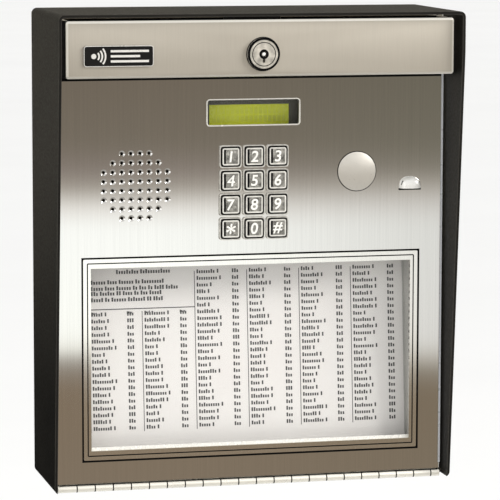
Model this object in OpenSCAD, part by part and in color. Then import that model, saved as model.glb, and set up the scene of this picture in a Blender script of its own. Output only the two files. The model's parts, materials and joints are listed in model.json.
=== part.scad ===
// Wall-mounted door intercom panel: a steel cabinet whose stainless door swings
// down on a continuous hinge. The door carries the display, keypad, speaker,
// microphone and paper directory; the cabinet holds the main board.
//
// Millimetres. +X right, -Y out of the wall towards the visitor, +Z up.
// The origin is on the wall face, at the centre of the four wall holes.
// Inside the modules, on_door() moves to a local frame with Y = 0 on the
// door's front face (positive towards the wall) and Z = 0 at the cabinet's base.

/* [Cabinet] */
// Outside width of the cabinet
cab_w = 282; // [276:1:300]
// Outside height of the cabinet
cab_h = 329; // [329:1:345]
// Sheet thickness of the cabinet
cab_sheet = 2; // [1.5:0.5:2.5]
// Distance from the wall to the door's front face
door_depth = 72; // [66:1:90]
// How far the roof and the upper side walls stand in front of the door
roof_out = 39; // [38:1:50]
// How far the side walls stand in front of the door at their foot
foot_out = 12; // [6:1:20]
// Height at which the side walls' front edges start to slant back
slant_top = 301; // [250:1:310]
// Width between the wall holes
wall_hole_dx = 200; // [190:1:220]
// Height between the wall holes
wall_hole_dz = 240; // [230:1:260]
// Radius of the wall holes
wall_hole_r = 3.25; // [2.5:0.25:4]
// Radius of the cable entry in the back
entry_r = 11.1; // [8:0.1:14]

/* [Door] */
// Width of the door panel
door_w = 275; // [272:1:275]
// Height of the door's top edge above the cabinet's base
door_top = 325; // [324:1:325]
// Sheet thickness of the door panel
door_sheet = 2; // [1.5:0.5:2]
// Depth of the door's bent-back edges
door_return = 10.7; // [6:0.1:10.7]
// Clearance between door parts and cabinet parts
gap = 0.3; // [0.3:0.1:0.5]

/* [Hood bar] */
// Width of the hood bar across the top of the door
hood_w = 270; // [250:0.1:272]
// Height of the hood bar
hood_h = 38.6; // [36:0.1:39]
// Height of the hood bar's lower edge above the cabinet's base
hood_z = 285.9; // [284:0.1:286]
// How far the hood bar stands in front of the door panel
hood_out = 32; // [30:1:36]

/* [Hinge] */
// Length of one hinge knuckle
knuckle = 12.7; // [12:0.1:13]
// Radius of the hinge barrel
barrel_r = 2.4; // [2.2:0.1:2.4]
// Radius of the hinge pin
pin_r = 1.2; // [1:0.1:1.3]

/* [Directory] */
// Distance of the directory's centre right of the middle
dir_x = 0.7; // [0:0.1:1]
// Width of the directory cut-out in the door
dir_w = 240.6; // [230:0.1:242]
// Height of the directory cut-out
dir_h = 142.2; // [136:0.1:142.4]
// Height of the directory's centre above the cabinet's base
dir_z = 90.3; // [90.2:0.05:90.5]
// Depth of the directory tray at its top, behind the door's front face
tray_top_y = 27; // [20:1:28]
// Depth of the directory tray at its bottom
tray_foot_y = 15; // [10:1:18]

/* [Display] */
// Distance of the display's centre right of the middle
lcd_x = 1.2; // [0:0.1:1.5]
// Width of the display window
lcd_w = 64.8; // [60:0.1:66]
// Height of the display window
lcd_h = 17.1; // [15:0.1:18]
// Height of the display's centre above the cabinet's base
lcd_z = 259.3; // [258.8:0.1:260]

/* [Keypad] */
// Distance of the keypad's centre right of the middle
pad_x = 1.3; // [0:0.1:1.5]
// Distance between key centres across
key_dx = 16.65; // [16.6:0.05:17]
// Distance between key centres up and down
key_dz = 16.65; // [16.5:0.05:16.8]
// Height of the keypad's centre above the cabinet's base
pad_z = 204; // [203.8:0.1:204.2]
// Side of a key cap
key_side = 12; // [11:0.1:12.5]
// Key travel
key_travel = 1.2; // [0.8:0.1:1.2]

/* [Speaker and microphone] */
// Distance of the speaker's centre left of the middle
spk_x = 81.6; // [81:0.1:90]
// Height of the speaker's centre above the cabinet's base
spk_z = 210.1; // [208:0.1:214]
// Distance between speaker holes
spk_pitch = 6.35; // [6:0.05:6.4]
// Radius of a speaker hole at the door's face, where it is countersunk
spk_mouth_r = 2.2; // [1.5:0.1:2.4]
// Radius of a speaker hole inside
spk_hole_r = 1.1; // [0.8:0.1:1.4]
// Distance of the microphone right of the middle
mic_x = 113.5; // [112:0.1:116]

/* [Lock] */
// Height of the lock's centre above the cabinet's base
lock_z = 301.2; // [300:0.1:302]
// Radius of the lock's front ring
lock_ring_r = 11.2; // [11:0.1:12.5]
// Radius of the turning plug
plug_r = 8; // [7:0.1:8]
// Length of the cam from the lock's axis
cam_len = 22; // [18:1:23]

/* [Hidden] */
$fn = 48;
eps = 0.05;

// Cabinet
inner_w = cab_w - 2 * cab_sheet;
back_y = door_depth - cab_sheet;
roof_z = cab_h - cab_sheet;
bend_r = 4;
entry_x = -60;
entry_z = 62;

// Hinge: the leaves are tangent to the barrel's back and near its top
leaf_t = 1.2;
hinge_y = door_sheet + leaf_t - barrel_r;
hinge_z = 1;
hinge_half = door_w / 2 - 0.5;
first_knuckle = 13.5;
knuckle_count = 22;
knuckle_gap = 0.5;
running = 0.05;
leaf_clear = 0.4;
door_bottom = 4.5;
door_leaf_top = 17;
cabinet_leaf_back = 26;

// Rest ledges and gasket
ledge_y = 14;
ledge_t = 1.5;
ledge_w = 10;
ledge_foot = 8;
gasket_w = 6;

// Hood bar and latch
hood_t = 1.5;
hood_bend = 1.8;
hood_lip = 8;
hood_mid_z = hood_z + hood_h / 2;
notch_half = 20;
notch_z = 296;
strike_half = 16;
strike_y = -14;
strike_z = 311.5;
barrel_lock_r = 9.5;
lock_back_y = -10.5;
cam_t = 2.5;
stub_side = 8;

// Name plate
badge_w = 47.6;
badge_h = 14.1;
badge_t = 1.2;
badge_x = -99.5;
badge_z = 301;

// Studs and nuts
stud_r = 1.5;
nut_r = 3.175;
nut_t = 2.4;

// Directory
frame_gap = 1.3;
seal_y = 0.9;
flange_over = 6.2;
mid_w = dir_w - 8;
mid_h = dir_h - 8;
view_w = mid_w - 5.2;
view_h = mid_h - 7.4;
flange_t = 1.2;
tray_y = door_sheet + flange_t;
tray_t = 1;
window_y = 3.2;
window_t = 2;
bezel_back = window_y + window_t;
sheet_t = 0.4;

// Display stack, from the door's front face backwards
lens_t = 1.5;
glass_y = 14;
lcd_board_y = 16;
pcb_t = 1.6;
lcd_view_w = 56.7;
lcd_view_h = 14.4;
lcd_unit_z = lcd_z - 2.8;

// Keypad stack
collar_side = 15.6;
collar_in = 13.9;
collar_y = -1.8;
key_y = -2.4;
pad_plate_back = 4;
pad_board_y = 9.5;
pad_w = 66;
pad_wall = 7;
pad_h = 71;
key_flange = 15.2;
mat_y = 8;
dome_y = 7.1;

// Speaker stack
spk_gasket_t = 2;
spk_r = 33;
spk_rim_y = door_sheet + spk_gasket_t;
clamp_r = 36.5;
spk_sink = 0.8;

// Microphone and blank plug
mic_z = 207;
mic_foot = 204.4;
mic_w = 15.4;
mic_h = 9.6;
mic_out = 5.4;
mic_dome_r = 13;
mic_sheet = 0.9;
mic_corner = 6;
blank_x = 75.1;
blank_z = 216.9;
blank_r = 13.5;
blank_stem_r = 9.3;

// Main board
board_w = 180;
board_h = 180;
board_z = 185;
board_front = 58.4;
standoff_inset = 8;
terminal_pitch = 10;
terminal_x = [for (i = [0 : 13]) -65 + terminal_pitch * i];
terminal_z = 105;
terminal_front = board_front - 14;

// Stud positions: [x, z, height of the shoulder the part sits on, top of the stack, end]
dir_stud_x = dir_w / 2 + 3.5;
dir_studs = concat(
    [for (sx = [-1, 1], dz = [-55, 0, 55])
        [dir_x + sx * dir_stud_x, dir_z + dz, door_sheet, tray_y + tray_t, 9]],
    [for (x = [-80, 0, 80])
        [dir_x + x, dir_z + dir_h / 2 + 3.3, door_sheet, tray_y + tray_t, 9]]
);
pad_studs = [for (sx = [-1, 1], sz = [-1, 1])
    [pad_x + sx * (pad_w / 2 - 4), pad_z + sz * 25, pad_board_y, pad_board_y + pcb_t, 15]];
lcd_studs = [for (sx = [-1, 1], sz = [-1, 1])
    [lcd_x + sx * 37.5, lcd_unit_z + sz * 15.5, lcd_board_y, lcd_board_y + pcb_t, 22]];
spk_studs = [for (a = [45 : 90 : 315])
    [clamp_r * cos(a) - spk_x, clamp_r * sin(a) + spk_z, door_sheet, 6.4, 11]];
all_studs = concat(dir_studs, pad_studs, lcd_studs, spk_studs);

// Moves to the door's local frame
module on_door() {
    translate([0, -door_depth, -cab_h / 2]) children();
}

// Rectangle with round corners, made of true arcs
module round_rect(w, h, r) {
    square([w - 2 * r, h], center = true);
    square([w, h - 2 * r], center = true);
    for (sx = [-1, 1], sy = [-1, 1])
        translate([sx * (w / 2 - r), sy * (h / 2 - r)]) circle(r);
}

// Round-cornered plate standing in the XZ plane, from y0 back to y1
module plate(w, h, r, y0, y1, x = 0, z = 0) {
    translate([x, y1, z]) rotate([90, 0, 0]) linear_extrude(y1 - y0) round_rect(w, h, r);
}

// Square-cornered plate standing in the XZ plane
module slab(w, h, y0, y1, x = 0, z = 0) {
    translate([x - w / 2, y0, z - h / 2]) cube([w, y1 - y0, h]);
}

// Round rod along Y
module rod_y(r, y0, y1, x = 0, z = 0) {
    translate([x, y1, z]) rotate([90, 0, 0]) cylinder(r = r, h = y1 - y0);
}

// Round rod along X
module rod_x(r, x0, x1, y = 0, z = 0) {
    translate([x0, y, z]) rotate([0, 90, 0]) cylinder(r = r, h = x1 - x0);
}

// Outline in the YZ plane, extruded along X about x
module side_profile(points, w, x = 0) {
    translate([x - w / 2, 0, 0]) rotate([90, 0, 90]) linear_extrude(w) polygon(points);
}

// Hexagon nut along Y with its hole
module hex_nut(corner_r, hole_r, y0, y1, x = 0, z = 0) {
    difference() {
        translate([x, y1, z]) rotate([90, 0, 0]) cylinder(r = corner_r, h = y1 - y0, $fn = 6);
        rod_y(hole_r, y0 - eps, y1 + eps, x, z);
    }
}

// ---------------------------------------------------------------- cabinet

module cabinet_shell() {
    front = -roof_out;
    color([0.13, 0.12, 0.11]) on_door() difference() {
        intersection() {
            plate(cab_w, cab_h, bend_r, front, door_depth, 0, cab_h / 2);
            side_profile([
                [door_depth, 0], [door_depth, cab_h], [front, cab_h],
                [front, slant_top], [-foot_out, 0]
            ], cab_w);
        }
        plate(inner_w, cab_h - 2 * cab_sheet, bend_r - cab_sheet, front - 1, back_y, 0, cab_h / 2);
        slab(inner_w, 2 * (cab_sheet + 1), front, hinge_y + barrel_r + 0.6, 0, 0);
        for (sx = [-1, 1], sz = [-1, 1])
            rod_y(wall_hole_r, back_y - 1, door_depth + 1,
                  sx * wall_hole_dx / 2, cab_h / 2 + sz * wall_hole_dz / 2);
        rod_y(entry_r, back_y - 1, door_depth + 1, entry_x, entry_z);
    }
}

// Angles that the closed door rests against: one down each side, one under the roof
module door_ledges() {
    side_h = roof_z - (bend_r - cab_sheet) - ledge_foot;
    color([0.16, 0.15, 0.14]) on_door() {
        for (sx = [-1, 1]) {
            slab(ledge_w, side_h, ledge_y, ledge_y + ledge_t,
                 sx * (inner_w - ledge_w) / 2, ledge_foot + side_h / 2);
            slab(ledge_t, side_h, ledge_y + ledge_t, ledge_y + ledge_w,
                 sx * (inner_w - ledge_t) / 2, ledge_foot + side_h / 2);
        }
        top_w = inner_w - 2 * ledge_w;
        slab(top_w, ledge_w, ledge_y, ledge_y + ledge_t, 0, roof_z - ledge_w / 2);
        slab(top_w, ledge_t, ledge_y + ledge_t, ledge_y + ledge_w, 0, roof_z - ledge_t / 2);
    }
}

// Foam strip on the ledges, just behind the door's bent edges
module door_gasket() {
    strip_y = door_return + gap;
    outer_w = inner_w - 2.4;
    top = roof_z - 1;
    color([0.08, 0.08, 0.08]) on_door() difference() {
        slab(outer_w, top - ledge_foot, strip_y, ledge_y, 0, (top + ledge_foot) / 2);
        slab(outer_w - 2 * gasket_w, top - ledge_foot, strip_y - 1, ledge_y + 1,
             0, (top + ledge_foot) / 2 - gasket_w);
    }
}

// Bracket under the roof that the lock's cam turns up behind
module latch_strike() {
    foot_t = 1.5;
    foot_back = 4;
    color([0.13, 0.12, 0.11]) on_door() {
        slab(2 * strike_half, roof_z - strike_z, strike_y, strike_y + 2, 0, (roof_z + strike_z) / 2);
        slab(2 * strike_half, foot_t, strike_y, foot_back, 0, roof_z - foot_t / 2);
    }
}

// ---------------------------------------------------------------- hinge

// Edge number i of the row of knuckles, from the left
function knuckle_edge(i) =
    i == 0 ? -hinge_half
    : i == knuckle_count ? hinge_half
    : -hinge_half + first_knuckle + (i - 1) * knuckle;

// Knuckles of one leaf: every second one, starting at first
module knuckles(first, bore_r) {
    for (i = [first : 2 : knuckle_count - 1]) {
        x0 = knuckle_edge(i) + knuckle_gap / 2;
        x1 = knuckle_edge(i + 1) - knuckle_gap / 2;
        difference() {
            rod_x(barrel_r, x0, x1, hinge_y, hinge_z);
            rod_x(bore_r, x0 - eps, x1 + eps, hinge_y, hinge_z);
        }
    }
}

module hinge_cabinet_leaf() {
    plate_y = hinge_y + barrel_r + leaf_clear;
    color([0.72, 0.72, 0.7]) on_door() {
        knuckles(0, pin_r);
        translate([-hinge_half + 2, plate_y, cab_sheet])
            cube([2 * hinge_half - 4, cabinet_leaf_back - plate_y, leaf_t]);
        for (i = [0 : 2 : knuckle_count - 1]) {
            x0 = knuckle_edge(i) + knuckle_gap / 2 + (i == 0 ? 2 : 0);
            x1 = knuckle_edge(i + 1) - knuckle_gap / 2;
            translate([x0, hinge_y + pin_r + 0.3, cab_sheet])
                cube([x1 - x0, leaf_clear + barrel_r - pin_r, leaf_t]);
        }
    }
}

module hinge_door_leaf() {
    plate_z = hinge_z + barrel_r + leaf_clear;
    half = door_w / 2 - door_sheet - 2 * gap;
    color([0.75, 0.75, 0.73]) on_door() {
        knuckles(1, pin_r + running);
        translate([-half, door_sheet, plate_z])
            cube([2 * half, leaf_t, door_leaf_top - plate_z]);
        for (i = [1 : 2 : knuckle_count - 1]) {
            x0 = knuckle_edge(i) + knuckle_gap / 2;
            x1 = min(knuckle_edge(i + 1) - knuckle_gap / 2, half);
            translate([x0, hinge_y + pin_r + running + 0.1, hinge_z])
                cube([x1 - x0, barrel_r - pin_r - running - 0.1, plate_z - hinge_z + eps]);
        }
    }
}

module hinge_pin() {
    color([0.7, 0.7, 0.7]) on_door() rod_x(pin_r, -hinge_half, hinge_half, hinge_y, hinge_z);
}

// ---------------------------------------------------------------- main board

module main_board() {
    color([0.1, 0.35, 0.18]) on_door() difference() {
        slab(board_w, board_h, board_front, board_front + pcb_t, 0, board_z);
        board_corners() rod_y(2, board_front - 1, board_front + pcb_t + 1);
    }
}

// Puts its children at the board's four fixing holes
module board_corners() {
    for (sx = [-1, 1], sz = [-1, 1])
        translate([sx * (board_w / 2 - standoff_inset), 0, board_z + sz * (board_h / 2 - standoff_inset)])
            children();
}

module board_standoffs() {
    color([0.75, 0.75, 0.72]) on_door() board_corners() difference() {
        rod_y(4, board_front + pcb_t, back_y);
        rod_y(1.5, board_front, back_y - 2);
    }
}

module board_screws() {
    color([0.7, 0.7, 0.7]) on_door() board_corners() difference() {
        union() {
            rod_y(3.2, board_front - 2, board_front);
            rod_y(1.5, board_front - eps, board_front + 7);
        }
        slab(4, 0.8, board_front - 3, board_front - 1.2);
    }
}

module terminal_strip() {
    w = terminal_pitch * len(terminal_x);
    color([0.1, 0.3, 0.15]) on_door() difference() {
        slab(w, 16, terminal_front, board_front, terminal_x[0] + (w - terminal_pitch) / 2, terminal_z);
        for (x = terminal_x) slab(6, 6, terminal_front - 1, terminal_front + 8, x, terminal_z - 5);
    }
}

module terminal_screws() {
    color([0.75, 0.75, 0.7]) on_door() for (x = terminal_x) difference() {
        rod_y(2.4, terminal_front - 1.4, terminal_front, x, terminal_z + 3.6);
        slab(5, 0.7, terminal_front - 2, terminal_front - 0.7, x, terminal_z + 3.6);
    }
}

module relays() {
    color([0.08, 0.08, 0.1]) on_door() for (x = [-70, -44, -18])
        slab(19, 16, board_front - 15, board_front, x, 136);
}

module capacitors() {
    color([0.15, 0.17, 0.3]) on_door() for (x = [14, 28, 42])
        rod_y(5, board_front - 18, board_front, x, 136);
}

module logic_chips() {
    color([0.07, 0.07, 0.07]) on_door() {
        slab(52, 14, board_front - 4, board_front, 40, 190);
        for (z = [175, 195, 215]) slab(36, 14, board_front - 4, board_front, -50, z);
    }
}

// Ribbon header for the door's wiring and the socket for the telephone line
module board_headers() {
    color([0.2, 0.2, 0.22]) on_door() {
        difference() {
            slab(50, 9, board_front - 9, board_front, 40, 225);
            slab(47, 6, board_front - 10, board_front - 2, 40, 225);
        }
        difference() {
            slab(16, 14, board_front - 12, board_front, 75, 136);
            slab(11.6, 7, board_front - 13, board_front - 2, 75, 136);
        }
    }
}

// ---------------------------------------------------------------- door

module door_panel() {
    height = door_top - door_bottom;
    mid_z = (door_top + door_bottom) / 2;
    color([0.75, 0.73, 0.7]) on_door() difference() {
        translate([0, 0, door_bottom]) linear_extrude(height) difference() {
            door_outline(door_w, door_return, 2.5);
            translate([0, door_sheet])
                door_outline(door_w - 2 * door_sheet, door_return, 0.5);
        }
        slab(2 * notch_half, door_top - notch_z + 1, -1, door_sheet + 1,
             0, (door_top + notch_z + 1) / 2);
        slab(dir_w, dir_h, -1, door_sheet + 1, dir_x, dir_z);
        plate(lcd_w, lcd_h, 1.5, -1, door_sheet + 1, lcd_x, lcd_z);
        at_keys() plate(collar_side + 0.2, collar_side + 0.2, 2.1, -1, door_sheet + 1);
        speaker_holes();
        rod_y(blank_stem_r + 0.2, -1, door_sheet + 1, blank_x, blank_z);
        plate(8, 4, 1.9, -1, door_sheet + 1, mic_x, mic_z);
    }
}

// The door's outline seen from above: a strip with round front corners
module door_outline(w, depth, r) {
    translate([-w / 2, r]) square([w, depth - r]);
    translate([-w / 2 + r, 0]) square([w - 2 * r, depth]);
    for (sx = [-1, 1]) translate([sx * (w / 2 - r), r]) circle(r);
}

// Number of holes in each row of the speaker grid
function row_holes(row) = row == 0 || row == 7 ? 4 : row == 1 || row == 6 ? 6 : 8;

module speaker_holes() {
    for (row = [0 : 7], i = [0 : row_holes(row) - 1])
        translate([
            -spk_x + (i - (row_holes(row) - 1) / 2) * spk_pitch, 0,
            spk_z + (row - 3.5) * spk_pitch
        ]) {
            rod_y(spk_hole_r, -1, door_sheet + 1);
            rotate([-90, 0, 0]) cylinder(r1 = spk_mouth_r, r2 = spk_hole_r, h = spk_sink);
        }
}

// Threaded studs on the door's back, each with the shoulder its part sits on
module door_studs() {
    color([0.72, 0.72, 0.7]) on_door() for (s = all_studs) {
        rod_y(stud_r, door_sheet, s[4], s[0], s[1]);
        if (s[2] > door_sheet) rod_y(2.2, door_sheet, s[2], s[0], s[1]);
    }
}

module door_nuts() {
    color([0.7, 0.7, 0.68]) on_door() for (s = all_studs)
        hex_nut(nut_r, stud_r, s[3], s[3] + nut_t, s[0], s[1]);
}

module hood_bar() {
    color([0.78, 0.75, 0.69]) on_door() difference() {
        plate(hood_w, hood_h, hood_bend, -hood_out, 0, 0, hood_mid_z);
        plate(hood_w - 2 * hood_t, hood_h - 2 * hood_t, hood_bend - hood_t,
              -hood_out + hood_t, 1, 0, hood_mid_z);
        slab(hood_w - 2 * hood_bend, 4, -hood_out + hood_lip, 1, 0, hood_z + hood_h);
        rod_y(barrel_lock_r + 0.2, -hood_out - 1, -hood_out + hood_t + 1, 0, lock_z);
    }
}

// Plain name plate with no mark
module badge_plate() {
    color([0.05, 0.05, 0.05]) on_door()
        plate(badge_w, badge_h, 2, -hood_out - badge_t, -hood_out, badge_x, badge_z);
}

// ---------------------------------------------------------------- lock

module lock_barrel() {
    ring_front = -hood_out - 3;
    color([0.85, 0.83, 0.8]) on_door() translate([0, 0, lock_z]) difference() {
        union() {
            rod_y(lock_ring_r - 0.8, ring_front, -hood_out);
            rod_y(lock_ring_r, ring_front + 1, -hood_out);
            rod_y(barrel_lock_r, -hood_out - eps, lock_back_y);
        }
        rod_y(plug_r + running, ring_front - 1, lock_back_y + 1);
    }
}

module lock_nut() {
    color([0.75, 0.75, 0.72]) on_door()
        hex_nut(13.86, barrel_lock_r, -hood_out + hood_t, -hood_out + hood_t + 5, 0, lock_z);
}

// Turning plug with its keyway in front and the square stub that carries the cam
module lock_plug() {
    face = -hood_out - 3;
    color([0.86, 0.84, 0.8]) on_door() translate([0, 0, lock_z]) difference() {
        union() {
            rod_y(plug_r, face, lock_back_y);
            slab(stub_side, stub_side, lock_back_y - eps, lock_back_y + 0.3 + cam_t);
            rod_y(5, lock_back_y + 0.3 + cam_t, lock_back_y + 6);
        }
        rod_y(2, face - 1, face + 12);
        slab(1.6, 5, face - 1, face + 12, 0, -3.2);
    }
}

module lock_cam() {
    y0 = lock_back_y + 0.3;
    width = 15;
    color([0.7, 0.7, 0.68]) on_door() translate([0, 0, lock_z]) difference() {
        union() {
            rod_y(width / 2, y0, y0 + cam_t);
            slab(cam_len - 3, width - 3, y0, y0 + cam_t, (cam_len - 3) / 2);
            rod_y(width / 2 - 1.5, y0, y0 + cam_t, cam_len - width / 2 + 1.5);
        }
        slab(stub_side, stub_side, y0 - 1, y0 + cam_t + 1);
    }
}

// ---------------------------------------------------------------- display

module display_lens() {
    color([0.8, 0.85, 0.85, 0.3]) on_door()
        plate(lcd_w + 6, lcd_h + 6, 2, door_sheet, door_sheet + lens_t, lcd_x, lcd_z);
}

module display_bezel() {
    w = 71;
    h = 26;
    front = glass_y - 1;
    color([0.15, 0.15, 0.15]) on_door() difference() {
        plate(w, h, 1, front, lcd_board_y, lcd_x, lcd_unit_z);
        slab(lcd_view_w, lcd_view_h, front - 1, lcd_board_y + 1, lcd_x, lcd_unit_z);
        slab(w - 3, h - 3, glass_y, lcd_board_y + 1, lcd_x, lcd_unit_z);
    }
}

module display_glass() {
    color([0.65, 0.7, 0.1]) on_door()
        slab(lcd_view_w + 6, lcd_view_h + 5, glass_y, lcd_board_y, lcd_x, lcd_unit_z);
}

module display_board() {
    color([0.08, 0.3, 0.16]) on_door() difference() {
        slab(82, 37, lcd_board_y, lcd_board_y + pcb_t, lcd_x, lcd_unit_z);
        for (s = lcd_studs) rod_y(stud_r + 0.1, lcd_board_y - 1, lcd_board_y + 3, s[0], s[1]);
    }
}

// ---------------------------------------------------------------- keypad

// Puts its children at each of the twelve key centres
module at_keys() {
    for (col = [-1 : 1], row = [0 : 3])
        translate([pad_x + col * key_dx, 0, pad_z + (1.5 - row) * key_dz]) children();
}

// Housing behind the door with a raised collar round each key
module keypad_frame() {
    color([0.7, 0.69, 0.66]) on_door() difference() {
        union() {
            slab(pad_w, pad_h, door_sheet, pad_board_y, pad_x, pad_z);
            at_keys() plate(collar_side, collar_side, 2, collar_y, door_sheet + eps);
        }
        slab(pad_w - 2 * pad_wall, pad_h - 3, pad_plate_back, pad_board_y + 1, pad_x, pad_z);
        at_keys() plate(collar_in, collar_in, 1.4, collar_y - 1, pad_plate_back + 1);
        for (s = pad_studs) rod_y(2.3, 0, pad_board_y + 1, s[0], s[1]);
    }
}

// Rubber sheet with one dome behind each key
module keypad_mat() {
    color([0.3, 0.3, 0.32]) on_door() {
        slab(pad_w - 2 * pad_wall - 1, pad_h - 4, mat_y, pad_board_y, pad_x, pad_z);
        at_keys() rod_y(4, dome_y, mat_y + eps);
    }
}

module keypad_board() {
    color([0.1, 0.35, 0.18]) on_door() difference() {
        slab(pad_w, pad_h, pad_board_y, pad_board_y + pcb_t, pad_x, pad_z);
        for (s = pad_studs) rod_y(stud_r + 0.1, pad_board_y - 1, pad_board_y + 3, s[0], s[1]);
    }
}

// One key: the cap in its collar and the flange that keeps it in the housing
module key(col, row) {
    color([0.82, 0.8, 0.77]) on_door()
        translate([pad_x + (col - 1) * key_dx, 0, pad_z + (1.5 - row) * key_dz]) {
            plate(key_side, key_side, 1.5, key_y, pad_plate_back + gap + eps);
            plate(key_flange, key_flange, 1.5, pad_plate_back + gap, dome_y - gap - key_travel);
        }
}

// ---------------------------------------------------------------- speaker

// Ring about the speaker's axis, from its half section [radius, depth]
module speaker_turned(points) {
    translate([-spk_x, 0, spk_z]) rotate([-90, 0, 0]) rotate_extrude() polygon(points);
}

module speaker_gasket() {
    color([0.08, 0.08, 0.08]) on_door() speaker_turned([
        [27, door_sheet], [spk_r, door_sheet], [spk_r, spk_rim_y], [27, spk_rim_y]
    ]);
}

module speaker_basket() {
    rim_back = spk_rim_y + 1.2;
    color([0.2, 0.2, 0.2]) on_door() difference() {
        speaker_turned([
            [28, spk_rim_y], [spk_r, spk_rim_y], [spk_r, rim_back], [29, rim_back],
            [18, 20], [6, 20], [6, 19], [17.2, 19], [28, spk_rim_y + 0.4]
        ]);
        for (a = [0 : 90 : 270])
            translate([-spk_x, 0, spk_z]) rotate([0, a, 0])
                translate([-7, 8, 12]) cube([14, 9, 30]);
    }
}

module speaker_cone() {
    color([0.12, 0.11, 0.1]) on_door() speaker_turned([
        [0, 12], [6, 13], [6.5, 14.5], [25.6, spk_rim_y], [27.9, spk_rim_y],
        [27.9, spk_rim_y + 0.4], [25.8, spk_rim_y + 0.8], [7.2, 15.8], [7.2, 18], [6.2, 18],
        [6.2, 15], [5.6, 13.8], [0, 12.8]
    ]);
}

module speaker_magnet() {
    color([0.25, 0.25, 0.26]) on_door() {
        rod_y(19, 20, 22, -spk_x, spk_z);
        rod_y(20, 22, 32, -spk_x, spk_z);
        rod_y(19, 32, 35, -spk_x, spk_z);
    }
}

module speaker_clamps() {
    seat = spk_rim_y + 1.2;
    color([0.7, 0.7, 0.68]) on_door() translate([-spk_x, 0, spk_z]) for (a = [45 : 90 : 315])
        rotate([0, -a, 0]) difference() {
            union() {
                slab(12, 9, seat, seat + 1.2, clamp_r, 0);
                slab(2, 9, door_sheet, seat + eps, clamp_r + 5, 0);
            }
            rod_y(stud_r + 0.1, seat - 1, seat + 3, clamp_r, 0);
        }
}

// ---------------------------------------------------------------- microphone

// Louvre over the microphone's hole, open at the bottom
module microphone_hood() {
    color([0.8, 0.78, 0.75]) on_door() intersection() {
        difference() {
            louvre(0);
            louvre(mic_sheet);
        }
        translate([mic_x - mic_w / 2, -mic_out, mic_foot]) cube([mic_w, mic_out, mic_h]);
    }
}

// Domed block, all its skins moved inwards by inset
module louvre(inset) {
    intersection() {
        plate(mic_w - 2 * inset, 2 * (mic_h - inset), mic_corner - inset, -mic_out - 1, 1, mic_x, mic_foot);
        translate([mic_x, mic_dome_r - mic_out, mic_foot]) sphere(mic_dome_r - inset);
    }
}

module microphone_capsule() {
    color([0.75, 0.75, 0.73]) on_door() rod_y(4.8, 3, 8.5, mic_x, mic_z);
}

module microphone_boot() {
    color([0.06, 0.06, 0.06]) on_door() difference() {
        rod_y(8, door_sheet, 10, mic_x, mic_z);
        rod_y(4.8, 3, 8.5, mic_x, mic_z);
        rod_y(3, 1, 4, mic_x, mic_z);
    }
}

// ---------------------------------------------------------------- blank plug

module blank_plug() {
    dome_r = 48;
    dome_front = -2.4;
    color([0.78, 0.76, 0.73]) on_door() translate([blank_x, 0, blank_z]) {
        intersection() {
            rod_y(blank_r, dome_front, 0);
            translate([0, dome_front + dome_r, 0]) sphere(dome_r, $fn = 96);
        }
        rod_y(blank_stem_r, -eps, 12);
    }
}

module blank_plug_nut() {
    color([0.75, 0.75, 0.72]) on_door()
        hex_nut(13.86, blank_stem_r, door_sheet, door_sheet + 4, blank_x, blank_z);
}

// ---------------------------------------------------------------- directory

// Stepped outer frame seated in the door's cut-out from behind
module directory_frame() {
    flange_w = dir_w + 2 * flange_over;
    foot = door_leaf_top + 0.4;
    top = dir_z + dir_h / 2 + flange_over;
    color([0.82, 0.8, 0.76]) on_door() difference() {
        union() {
            slab(flange_w, top - foot, door_sheet, tray_y, dir_x, (top + foot) / 2);
            plate(dir_w - 2 * frame_gap, dir_h - 2 * frame_gap, 0.8, gap, tray_y, dir_x, dir_z);
        }
        slab(mid_w, mid_h, 0, tray_y + 1, dir_x, dir_z);
        for (s = dir_studs) rod_y(stud_r + 0.1, 1, tray_y + 1, s[0], s[1]);
    }
}

// Rubber seal in the gap between the door's cut-out and the frame
module directory_gasket() {
    color([0.05, 0.05, 0.05]) on_door() difference() {
        slab(dir_w - 2 * eps, dir_h - 2 * eps, seal_y, door_sheet, dir_x, dir_z);
        plate(dir_w - 2 * frame_gap + 2 * eps, dir_h - 2 * frame_gap + 2 * eps, 0.8,
              seal_y - 1, door_sheet + 1, dir_x, dir_z);
    }
}

// Inner frame with a rebate that holds the window
module directory_bezel() {
    outer_w = mid_w - 0.5;
    outer_h = mid_h - 0.5;
    color([0.82, 0.8, 0.76]) on_door() difference() {
        plate(outer_w, outer_h, 0.8, gap, bezel_back, dir_x, dir_z);
        slab(view_w, view_h, -1, bezel_back + 1, dir_x, dir_z);
        slab(outer_w - 2.4, outer_h - 2.4, window_y, bezel_back + 1, dir_x, dir_z);
    }
}

module directory_window() {
    color([0.85, 0.9, 0.9, 0.2]) on_door()
        slab(mid_w - 2.9, mid_h - 2.9, window_y, bezel_back, dir_x, dir_z);
}

// Depth of the tray's inner back at a height above its foot
function tray_depth(z) =
    tray_foot_y + (tray_top_y - tray_foot_y) * (z - (dir_z - mid_h / 2)) / mid_h;

// Wedge-shaped tray behind the window, deeper at the top
module directory_tray() {
    foot = door_leaf_top + 0.4;
    top = dir_z + dir_h / 2 + flange_over;
    low = dir_z - mid_h / 2;
    high = dir_z + mid_h / 2;
    color([0.55, 0.54, 0.52]) on_door() difference() {
        union() {
            slab(dir_w + 2 * flange_over, top - foot, tray_y, tray_y + tray_t, dir_x, (top + foot) / 2);
            side_profile([
                [tray_y, low - tray_t], [tray_y, high + tray_t],
                [tray_top_y + tray_t, high + tray_t], [tray_foot_y + tray_t, low - tray_t]
            ], mid_w + 2 * tray_t, dir_x);
        }
        side_profile([
            [tray_y - 1, low], [tray_y - 1, high], [tray_top_y, high], [tray_foot_y, low]
        ], mid_w, dir_x);
        for (s = dir_studs) rod_y(stud_r + 0.1, 1, tray_y + 3, s[0], s[1]);
    }
}

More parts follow.
